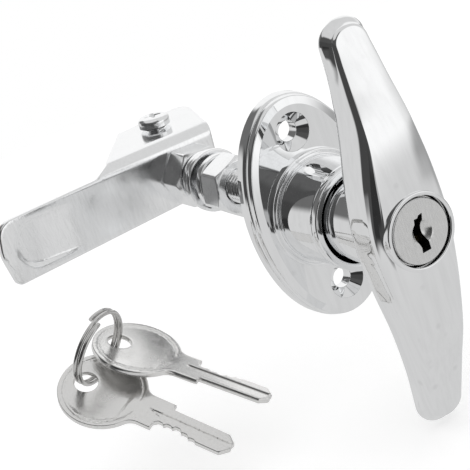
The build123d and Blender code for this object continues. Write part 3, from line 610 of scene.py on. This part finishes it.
# Spindle
# Turned steel rod with a plain head in the handle's neck, a rolled metric thread along
# the rest and two flats at its end that carry the cam round.
spindle_r, root_r, thread_pitch = 4.95, 4.15, 1.5
spindle_head_r, spindle_front = 6.0, -15.8
thread_start, flats_start, spindle_back, flat_half, rod_end_ease = 7.0, 65.8, 78.0, 4.0, 0.9


def thread_depth(turns):
    """Rounded V thread: 0 at the crest and 1 at the root, over one pitch."""
    t = abs((turns % 1.0) - 0.5) * 2
    return min(1.0, max(0.0, (0.9 - t) / 0.72)) ** 1.15


def threaded(crest, root, pitch, start, end, chamfer, around=72, per_turn=10):
    """Threaded rod along Y: the groove fades in at the start and the end is chamfered."""
    rows = int((end - start) / pitch * per_turn)
    verts = []
    for j in range(rows + 1):
        y = start + (end - start) * j / rows
        fade = min(1.0, (y - start) / (1.5 * pitch))
        limit = crest - max(0.0, chamfer - (end - y))
        for k in range(around):
            groove = (crest - root) * fade * thread_depth(y / pitch - k / around)
            verts.append(round_point(k / around, min(limit, crest - groove), y))
    return verts, bands(rows + 1, around) + [tuple(rows * around + k for k in range(around))]


shank = ring_of(rounded([(0.0, spindle_front), (spindle_head_r, spindle_front), (spindle_head_r, neck_foot),
                         (spindle_r, neck_foot), (spindle_r, thread_start)], 0.5), 72, round_point)
rod_points, rod_faces = threaded(spindle_r, root_r, thread_pitch, thread_start, spindle_back, rod_end_ease)
rod_points = [(x, y, max(-flat_half, min(flat_half, z)) if y > flats_start else z) for x, y, z in rod_points]
fitted("threaded_spindle", [shank, (rod_points, rod_faces)], "handle", "zinc", ["spindle"], turned, 35)

# Hexagon nuts
# Three plated steel nuts, seventeen millimetres across the flats, chamfered on both
# sides: two full nuts clamp the stack, a thin one holds the cam on the spindle's end.
nut_slope, nut_edge, full_nut, thin_nut = math.tan(math.radians(30)), 0.06, 9.2, 5.0
# Half across the flats, then the radii of the face, the corners and the bore
nut_sizes = (8.5, 8.1, 9.68, 4.99)


def hexagon_r(angle, flat_half, corner_r):
    """Radius of a hexagon with a corner at angle zero, its corners cut round."""
    step = math.radians(60)
    return min(corner_r, flat_half / math.cos((angle % step) - step / 2))


def nut_mesh(y, height, corner_deg, sizes):
    """Hexagon nut whose chamfer meets each flat in a curve, with a countersunk bore."""
    flat_half, face_r, corner_r, bore_r = sizes
    sink = 0.9 * (corner_r - flat_half)
    profile = ((bore_r, y + height * 0.5, 0), (bore_r, y + sink, 0), (bore_r + sink, y, 0),
               (face_r - 0.15, y, 0), (face_r, y + 0.02, 0), (0, y, 1), (0, y, 2),
               (0, y + height, -2), (0, y + height, -1), (face_r, y + height - 0.02, 0),
               (face_r - 0.15, y + height, 0), (bore_r + sink, y + height, 0),
               (bore_r, y + height - sink, 0), (bore_r, y + height * 0.5, 0))

    def point(u, radius, depth, side):
        """The places marked 1 and 2 follow the hexagon, on the chamfer and on the flat."""
        a = 2 * math.pi * u
        if side:
            edge = hexagon_r(a, flat_half, corner_r)
            on_chamfer = abs(side) == 1
            radius = edge - (nut_edge if on_chamfer else 0.0)
            depth += math.copysign((edge - face_r) * nut_slope + (0.0 if on_chamfer else 2 * nut_edge), side)
        turn = a + math.radians(corner_deg)
        return radius * math.sin(turn), depth, radius * math.cos(turn)

    return ring_of(profile, 180, point)


for name, node, y, height, corner_deg in (("nut_by_the_washers", "front_nut", 34.8, full_nut, 14.0),
                                          ("nut_on_the_cam", "rear_nut", 56.6, full_nut, -19.7),
                                          ("thin_end_nut", "end_nut", 69.75, thin_nut, 7.0)):
    fitted(name, [nut_mesh(y, height, corner_deg, nut_sizes)], "handle", "zinc", [node], sharp=24)

# Washers
# Two sprung split washers, not yet pressed flat, with a plain washer between them, and
# a thin one under the end nut; all stamped or coiled steel under the same plating.
washer_bore_r, washer_r, end_washer_r, sprung_bore_r, sprung_r = 5.15, 9.7, 8.8, 5.2, 8.8
sprung_thick, sprung_rise, sprung_turn, wire_ease = 2.5, 2.7, 346.0, 0.35


def plain_washer(y, thick, outer_r, ease):
    """Stamped ring with eased edges."""
    return ring_of(rounded([(washer_bore_r, y + thick / 2), (washer_bore_r, y), (outer_r, y),
                            (outer_r, y + thick), (washer_bore_r, y + thick),
                            (washer_bore_r, y + thick / 2)], ease), 144, round_point)


def capped(verts, rows, around):
    """Tube from rows of points, closed at both ends."""
    ends = [tuple(range(around)), tuple((rows - 1) * around + k for k in range(around))]
    return verts, bands(rows, around) + ends


def sprung_washer(y, start_deg, steps=120):
    """One open turn of square wire that climbs as it goes round."""
    half_w, half_t = (sprung_r - sprung_bore_r) / 2, sprung_thick / 2
    section = []
    for sw, st in ((1, 1), (-1, 1), (-1, -1), (1, -1)):
        for k in range(5):
            a = math.radians(22.5 * (k if sw * st > 0 else 4 - k))
            section.append((sw * (half_w - wire_ease + wire_ease * math.cos(a)),
                            st * (half_t - wire_ease + wire_ease * math.sin(a))))
    mean = (sprung_r + sprung_bore_r) / 2
    verts = []
    for j in range(steps + 1):
        a = math.radians(start_deg + sprung_turn * j / steps)
        climb = y + half_t + sprung_rise * j / steps
        verts += [((mean + dr) * math.cos(a), climb + dy, -(mean + dr) * math.sin(a)) for dr, dy in section]
    return capped(verts, steps + 1, len(section))


for name, node, washer in (("plain_washer", "flat_washer", plain_washer(49.3, 2.0, washer_r, 0.35)),
                           ("end_washer_plate", "end_washer", plain_washer(68.3, 1.4, end_washer_r, 0.25)),
                           ("sprung_washer_front", "front_split_washer", sprung_washer(44.05, 150.0)),
                           ("sprung_washer_rear", "rear_split_washer", sprung_washer(51.35, 120.0))):
    fitted(name, [washer], "handle", "zinc", [node])

# Cam
# Bent steel sheet: the arm that grips behind the frame, with a pressed hollow near its
# round tip, and a flange folded back from its top that carries the rod screw.
cam_front, cam_thick, cam_edge, fold_inner, flange_top, flange_long = 65.85, 2.4, 0.5, 1.6, 12.6, 24.3
fold_mid = fold_inner + cam_thick / 2
fold_start = flange_top - fold_inner - cam_thick
fold_run = fold_mid * math.pi / 2
flange_start = fold_start + fold_run
fold_y = cam_front + cam_thick + fold_inner
hollow_x, hollow_z, hollow_half, hollow_depth, hollow_wall = -54.6, -0.8, 7.9, 1.0, 1.5
hollow_end, hollow_fade = -38.0, 17.0
spindle_hole_r, rod_x, rod_y, rod_hole_r = 5.05, 1.4, 81.8, 2.75
flange_far = flange_start + flange_long


def hollow(x, z):
    """Depth of the pressed hollow, fading toward the hub."""
    inside = hollow_half - math.hypot(min(0.0, x - hollow_x), z - hollow_z)
    return hollow_depth * gentle(inside / hollow_wall) * gentle((hollow_end - x) / hollow_fade)


def cam_point(x, v, side, gap):
    """Sheet point: up the arm, round the fold and back along the flange."""
    out = side * (cam_thick / 2 - edge_drop(gap, cam_edge)) - hollow(x, v)
    if v < fold_start:
        return x, cam_front + cam_thick / 2 - out, v
    if v < flange_start:
        a = (v - fold_start) / fold_mid
        return x, fold_y - (fold_mid + out) * math.cos(a), fold_start + (fold_mid + out) * math.sin(a)
    return x, fold_y + v - flange_start, flange_top - cam_thick / 2 + out


cam_line = eased([(-65.8, 8.8, 5), (-67.1, -1.3, 12), (-64.6, -11.5, 2.2), (11.6, -7.9, 5),
                  (11.6, 9, 2), (12.5, flange_start, 3), (18.6, flange_start + 18.6, 2),
                  (18.6, flange_far, 4), (-7.2, flange_far - 2.5, 0.9), (-25.2, 11.85, 1.5),
                  (-30.5, 9.5, 2)], 0.8)
hollow_rows = []
for inset in (-0.25, 0.15, 0.5, 0.9, 1.3, 1.7):
    r = hollow_half - inset
    hollow_rows += on_circle(hollow_x, hollow_z, r, (math.pi * (0.5 + k / 40) for k in range(41)))
    hollow_rows += [(hollow_x + 0.6 * k, hollow_z + side * r) for k in range(1, 30) for side in (1, -1)]
cam_holes = [hole_round(0, 0, spindle_hole_r, 40),
             hole_round(rod_x, flange_start + rod_y - fold_y, rod_hole_r, 32)]
cam_sheet = Sheet([cam_line] + cam_holes, 0.85, (0.06, 0.2, 0.5), hollow_rows)
fitted("bent_cam", [cam_sheet.solid(cam_point)], "handle", "zinc", ["cam"], turned, 60)

# Rod screw and its nut
# Cross-recessed pan head machine screw through the flange, standing a little proud of it,
# with a hexagon nut below that would hold a rod's end.
screw_head_r, screw_low, screw_top, screw_round, screw_crown = 5.0, 13.4, 16.8, 1.6, 0.315
recess_reach, recess_half, recess_depth, recess_tip, recess_turn = 2.75, 0.62, 1.7, 0.4, math.radians(20)
rod_thread_r, rod_root_r, rod_pitch, rod_length, rod_chamfer = 2.43, 2.0, 0.8, 12.0, 0.5
rod_nut_sizes, rod_nut_high, rod_nut_gap = (4.0, 3.8, 4.55, 2.48), 3.8, 0.05
rod_place = turned @ Matrix.Translation(Vector((rod_x, rod_y, 0)) * mm) @ turning(90, "X")


def cross(reach_out, half):
    """Outline of the cross recess, one arm after the other, clockwise."""
    arm = [(reach_out - 0.25, half * 0.75), (reach_out, 0.0), (reach_out - 0.25, -half * 0.75),
           (half * 1.25, -half * 1.25)]
    line = []
    for k in range(4):
        a = recess_turn - math.pi / 2 * k
        line += [Vector((x * math.cos(a) - y * math.sin(a), x * math.sin(a) + y * math.cos(a)))
                 for x, y in arm]
    return line


def head_height(r):
    """Top of the slightly crowned head at this distance from its middle."""
    return screw_top - screw_crown * (r / screw_head_r) ** 2


top_r = screw_head_r - screw_round
head_rim = hole_round(0, 0, top_r, 72)[::-1]
wide, narrow = cross(recess_reach, recess_half), cross(recess_reach * 0.55, recess_half * 0.7)
head_sheet = Sheet([head_rim, wide], 0.5, ())
head_top = [(q.x, head_height(q.length), q.y) for q in head_sheet.points]
edge_line = [(top_r + screw_round * math.sin(a), head_height(top_r) - screw_round * (1 - math.cos(a)))
             for a in (math.radians(10 * k) for k in range(10))]
head_side = ring_of(edge_line + [(screw_head_r, screw_low + 0.25), (screw_head_r - 0.25, screw_low),
                                 (rod_thread_r - 0.03, screw_low)], 72, round_point)
recess_low = screw_top - recess_depth
recess_points = [(q.x, head_height(q.length), q.y) for q in wide]
recess_points += [(q.x, recess_low, q.y) for q in narrow] + [(0, recess_low - recess_tip, 0)]
around = len(wide)
recess_faces = bands(2, around) + [(around + k, around + (k + 1) % around, 2 * around) for k in range(around)]
shank_points, shank_faces = threaded(rod_thread_r, rod_root_r, rod_pitch, -screw_low, rod_length - screw_low,
                                     rod_chamfer, 36, 8)
shank_points = [(x, -y, z) for x, y, z in shank_points]
fitted("rod_screw_head", [(head_top, head_sheet.faces), head_side, (recess_points, recess_faces),
                          (shank_points, shank_faces)], "handle", "zinc", ["rod_screw"], rod_place, 35)
rod_nut = nut_mesh(flange_top - cam_thick - rod_nut_gap - rod_nut_high, rod_nut_high, 0, rod_nut_sizes)
fitted("rod_nut_below", [rod_nut], "handle", "zinc", ["rod_nut"], rod_place, 24)

# Keys
# Two flat keys of nickel-plated brass, each with a round bow, a sunk field inside its
# border, a step across the neck, one groove along each face and five cuts.
key_thick, bow_r, bow_y, eye_r, neck_half = 1.8, 13.2, 5.6, 3.5, 5.3
shoulder_y, cut_shoulder_y, blade_half, tip_y, tip_slant, tip_half = 27.0, 24.2, 3.5, 47.9, 2.4, 1.5
cut_first, cut_pitch, cut_flat, cut_depths = 26.0, 2.7, 0.65, (1.3, 1.55, 1.9, 1.1, 0.5)
groove_left, groove_right, groove_y, groove_taper, groove_deep = -0.85, 0.75, 20.7, 4.0, 0.45
border_in, border_out, border_half, border_deep, border_end = 1.9, 0.35, 0.28, 0.16, 19.0
field_deep, field_end, step_y, step_slope, jog_x, jog, key_edge = 0.14, 22.0, 14.6, 0.08, -5.2, 0.9, 0.3
bow_face_y, bow_reach, neck_round, cut_steps = 17.0, 9.0, 4.0, 88


def cut_edge(y):
    """Half width of the blade on its cut side."""
    return min([blade_half] + [blade_half - deep + max(0.0, abs(y - cut_first - cut_pitch * k) - cut_flat)
                               for k, deep in enumerate(cut_depths)])


def key_outline():
    """Anticlockwise from the cut-side shoulder: blade, far shoulder, neck and bow."""
    neck_y = bow_y + math.sqrt((bow_r + neck_round) ** 2 - (neck_half + neck_round) ** 2)
    end = math.atan2(neck_y - bow_y, neck_half + neck_round)
    line = [(neck_half, cut_shoulder_y), (cut_edge(cut_shoulder_y), cut_shoulder_y)]
    line += [(cut_edge(y), y) for y in (cut_shoulder_y + (tip_y - tip_slant - cut_shoulder_y) * k / cut_steps
                                        for k in range(1, cut_steps + 1))]
    line += [(tip_half - 0.6, tip_y), (-tip_half, tip_y), (-blade_half, tip_y - tip_slant),
             (-blade_half, shoulder_y), (-neck_half, shoulder_y)]
    fillet = [(neck_half + neck_round - neck_round * math.cos(end * k / 8),
               neck_y - neck_round * math.sin(end * k / 8)) for k in range(9)]
    line += [(-x, y) for x, y in fillet]
    first = math.pi - end
    swing = (3 * math.pi - 2 * first) % (2 * math.pi)
    line += on_circle(0, bow_y, bow_r, (first + swing * k / 150 for k in range(1, 150)))
    line += fillet[::-1]
    return eased([(x, y, 0) for x, y in line], 0.55)


def key_face(x, y, gap):
    """How far the face lies below the flat stock: border line, sunk field and groove."""
    drop = edge_drop(gap, key_edge)
    edge = bow_r - math.hypot(x, y - bow_y)
    step = step_y - step_slope * x + (jog if x < jog_x else 0.0)
    if y < field_end:
        inward = min(edge, bow_reach) if y < bow_face_y else gap
        line = max(0.0, 1 - abs(inward - border_in + border_out) / border_half)
        drop += border_deep * line * gentle((border_end - y) / 3.0)
        drop += field_deep * gentle((inward - border_in) / 0.25) * gentle((step - y) / 0.2)
    if y > groove_y - 0.5:
        right_side = groove_left + (groove_right - groove_left) * min(1.0, (y - groove_y) / groove_taper)
        inside = min(x - groove_left, right_side - x)
        drop += groove_deep * gentle(inside / 0.22 + 0.3)
    return drop


def key_point(flip):
    """How to place a key's vertices; a turned-over key has its cuts on the other side."""
    def point(x, y, side, gap):
        """The face is drawn from its own side, so the far one is mirrored."""
        z = key_thick / 2 + side * (key_thick / 2 - key_face(x * side, y, gap))
        return (-x, y, key_thick - z) if flip else (x, y, z)
    return point


key_rows = [(x, groove_y + 0.4 * k) for x in (-0.98, -0.78, -0.6, 0.5, 0.68, 0.88) for k in range(66)]
key_rows += [(-x, y) for x, y in key_rows]
key_rows += [(x * 0.5, step_y - 0.04 * x + d) for x in range(-15, 16) for d in (-0.22, 0.04)]
for r in (10.9, 11.28, 11.42, 11.66, 11.9):
    key_rows += on_circle(0, bow_y, r, (2 * math.pi * k / 130 for k in range(130)))
key_sheet = Sheet([key_outline(), hole_round(0, 0, eye_r, 56)], 0.75, (0.05, 0.15, key_edge), key_rows)
table = Matrix.Translation(Vector((0, 15.4, -40.0)) * mm) @ turning(28.5, "X")


def lying(x, y, height, turn_deg, pitch_deg, roll_deg):
    """Place on the table: eye position, heading, and how the key tips."""
    return (table @ Matrix.Translation(Vector((x, y, height)) * mm) @ turning(turn_deg, "Z")
            @ turning(-pitch_deg, "X") @ turning(-roll_deg, "Y"))


eye_one, eye_two = Vector((-70.8, 22.05, 2.5)), Vector((-55.7, 26.2, 4.7))
fitted("lower_key", [key_sheet.solid(key_point(False))], "key_a", "key_nickel", ["key_one"],
       lying(*eye_one, -158.0, 2.9, 0.0), 38)
fitted("upper_key", [key_sheet.solid(key_point(True))], "key_b", "key_nickel", ["key_two"],
       lying(*eye_two, -152.6, 4.6, 20.7), 38)

# Key ring
# Split ring of sprung wire: two turns side by side, each end cut square, standing
# upright through both key eyes.
ring_r, wire_r, ring_pitch, ring_turns = 11.05, 0.65, 1.5, 2.0
ring_spread, ring_shift, ring_side, ring_twist = 0.6, 0.8, -0.75, 4.1
gap_eyes = eye_two - eye_one
run = math.hypot(gap_eyes.x, gap_eyes.y)
chord = math.hypot(run, gap_eyes.z)
up = math.sqrt(ring_r ** 2 - (chord / 2 + ring_spread) ** 2)
ahead = run / 2 - up * gap_eyes.z / chord + ring_shift
toward = Vector((gap_eyes.x / run, gap_eyes.y / run, 0))
aside = Vector((toward.y, -toward.x, 0))
centre = Vector((eye_one.x, eye_one.y, 0)) + toward * ahead + aside * ring_side
centre.z = eye_one.z + key_thick / 2 + gap_eyes.z / 2 + up * run / chord
upright = aside.cross(toward)
stand = Matrix([(toward[i], upright[i], aside[i], centre[i] * mm) for i in range(3)] + [(0, 0, 0, 1)])
ring_place = table @ stand @ turning(ring_twist, "Y")


def wire_tube(steps=260, around=18):
    """Round wire along the ring's two turns, its cut ends slightly eased."""
    verts = []
    for j in range(steps + 1):
        turn = ring_turns * j / steps
        r = wire_r * (0.86 if j in (0, steps) else 1.0)
        out = Vector((math.sin(2 * math.pi * turn), math.cos(2 * math.pi * turn), 0))
        for k in range(around):
            b = 2 * math.pi * k / around
            lift = ring_pitch * (turn - ring_turns / 2) + r * math.sin(b)
            verts.append(tuple(out * (ring_r + r * math.cos(b)) + Vector((0, 0, lift))))
    return capped(verts, steps + 1, around)


polished_nickel = metal("polished_nickel", (0.66, 0.655, 0.645), 420.0, (0.04, 0.1), 0.6, 0.2)
fitted("split_ring", [wire_tube()], "ring", "key_nickel", ["key_ring"], ring_place, 50, polished_nickel)

# Camera at the photograph's angle
scene = bpy.context.scene
place = Vector((-0.2765, -0.5108, 0.2347))
photo_focal, photo_width, film = 2200.0, 470.0, 36.0
azimuth, lift, roll = -26.2, 22.1, -21.4
lens = bpy.data.cameras.new("photo_angle")
lens.sensor_width = film
lens.lens = photo_focal / photo_width * film
lens.clip_start = 0.01
camera = bpy.data.objects.new("photo_angle", lens)
camera.matrix_world = (Matrix.Translation(place) @ turning(azimuth, "Z") @ turning(90 - lift, "X")
                       @ turning(roll, "Z"))
scene.collection.objects.link(camera)
scene.camera = camera

# Studio
# White paper below and white all round; the bright metal sees a soft front light, a
# grey table and the dark room at the left, as the one in the photograph does.
scene.view_settings.view_transform = "Standard"
world = bpy.data.worlds.new("studio")
scene.world = world
world.use_nodes = True


def studio_card():
    """Shader group: how far a card covers a direction, from its place and size in degrees."""
    group = shader_group("studio_card", OUTPUT=("Cover",),
                         INPUT=("Azimuth", "Elevation", "Roll", "Half width", "Half height", "Soft"))
    group.interface.new_socket("Direction", in_out="INPUT", socket_type="NodeSocketVector")
    enter = group.nodes.new("NodeGroupInput").outputs

    def work(operation, *values):
        return added(group, "ShaderNodeMath", dict(enumerate(values)), operation=operation).outputs[0]

    aimed = enter["Direction"]
    for axis, name, sign in (("Z_AXIS", "Azimuth", -1), ("X_AXIS", "Elevation", 1), ("Y_AXIS", "Roll", 1)):
        angle = work("MULTIPLY", enter[name], sign * math.pi / 180)
        aimed = added(group, "ShaderNodeVectorRotate", {"Vector": aimed, "Angle": angle},
                      rotation_type=axis).outputs[0]
    axes = added(group, "ShaderNodeSeparateXYZ", {0: aimed}).outputs
    across = work("ARCTAN2", axes["X"], work("MULTIPLY", axes["Y"], -1.0))
    rise = work("ARCSINE", axes["Z"])
    covers = [added(group, "ShaderNodeMapRange", {
        "Value": work("MULTIPLY", work("ABSOLUTE", angle), 180 / math.pi), "To Min": 1.0, "To Max": 0.0,
        "From Min": work("SUBTRACT", enter[half], enter["Soft"]),
        "From Max": work("ADD", enter[half], enter["Soft"])}, interpolation_type="SMOOTHSTEP").outputs[0]
        for angle, half in ((across, "Half width"), (rise, "Half height"))]
    added(group, "NodeGroupOutput", {"Cover": work("MULTIPLY", *covers)})
    return group


card = studio_card()
tree = world.node_tree
aim = tree.nodes.new("ShaderNodeTexCoord").outputs["Generated"]
room_grey, fill_light = 0.68, 0.85
seen = room_grey
for title, azimuth_deg, elevation_deg, roll_deg, half_w, half_h, soft, level in (
        ("table below", 0, -90, 0, 62, 62, 6, 0.66),
        ("ceiling", 0, 90, 0, 33, 33, 8, 0.68),
        ("bright wall behind right", 150, 20, 0, 30, 28, 8, 0.98),
        ("grey band at the right", 92, -18, 0, 46, 7, 4, 0.37),
        ("dark wall behind left", -140, 32, 0, 34, 18, 5, 0.15),
        ("dark room at the left", -60, 18, 0, 51, 31, 4, 0.08),
        ("its darker floor", -86, 11, 0, 50, 14, 3, 0.06),
        ("table edge at the left", -62, -8, -6, 30, 8, 2.5, 0.03),
        ("dark patch above the front", 0, 32, 0, 14, 17, 5, 0.12),
        ("front light", 20, 2, 0, 27, 13, 7, 1.02),
        ("grey patch beside it", -20, -8, 0, 12, 7, 3, 0.45),
        ("dark line below it", -38, -17, -4, 24, 2.5, 1.5, 0.06)):
    cover = added(tree, "ShaderNodeGroup", {
        "Direction": aim, "Azimuth": azimuth_deg, "Elevation": elevation_deg, "Roll": roll_deg,
        "Half width": half_w, "Half height": half_h, "Soft": soft}, node_tree=card, label=title)
    seen = added(tree, "ShaderNodeMix", {
        "Factor": cover.outputs["Cover"], "A": seen, "B": level}).outputs["Result"]
ray = tree.nodes.new("ShaderNodeLightPath").outputs
plain = added(tree, "ShaderNodeMix", {"Factor": ray["Is Camera Ray"], "A": fill_light, "B": 1.0})
metal_sees = added(tree, "ShaderNodeMath", {0: ray["Is Glossy Ray"], 1: ray["Is Transmission Ray"]},
                   operation="MAXIMUM")
pick = added(tree, "ShaderNodeMix", {
    "Factor": metal_sees.outputs[0], "A": plain.outputs["Result"], "B": seen})
wired(tree, tree.nodes["Background"], {"Color": (1.0, 1.0, 1.0, 1.0), "Strength": pick.outputs["Result"]})

paper_low, paper_r, paper_sides, paper_glow = cad_box[0][2] - 0.001, 0.34, 64, 0.36
paper_mesh = bpy.data.meshes.new("paper")
paper_mesh.from_pydata([(paper_r * math.sin(a), paper_r * math.cos(a), paper_low)
                        for a in (2 * math.pi * k / paper_sides for k in range(paper_sides))],
                       [], [tuple(range(paper_sides))])
paper = bpy.data.objects.new("paper", paper_mesh)
scene.collection.objects.link(paper)
paper.visible_glossy = False
sheet = bpy.data.materials.new("white_paper")
sheet.use_nodes = True
tree = sheet.node_tree
ray = tree.nodes.new("ShaderNodeLightPath").outputs
seen = added(tree, "ShaderNodeMath", {0: ray["Is Camera Ray"], 1: ray["Is Glossy Ray"]}, operation="MAXIMUM")
glow = added(tree, "ShaderNodeMath", {0: seen.outputs[0], 1: paper_glow}, operation="MULTIPLY")
wired(tree, tree.nodes["Principled BSDF"], {
    "Base Color": (0.85, 0.85, 0.85, 1.0), "Roughness": 0.9, "Specular IOR Level": 0.0,
    "Emission Color": (1, 1, 1, 1), "Emission Strength": glow.outputs[0]})
paper_mesh.materials.append(sheet)
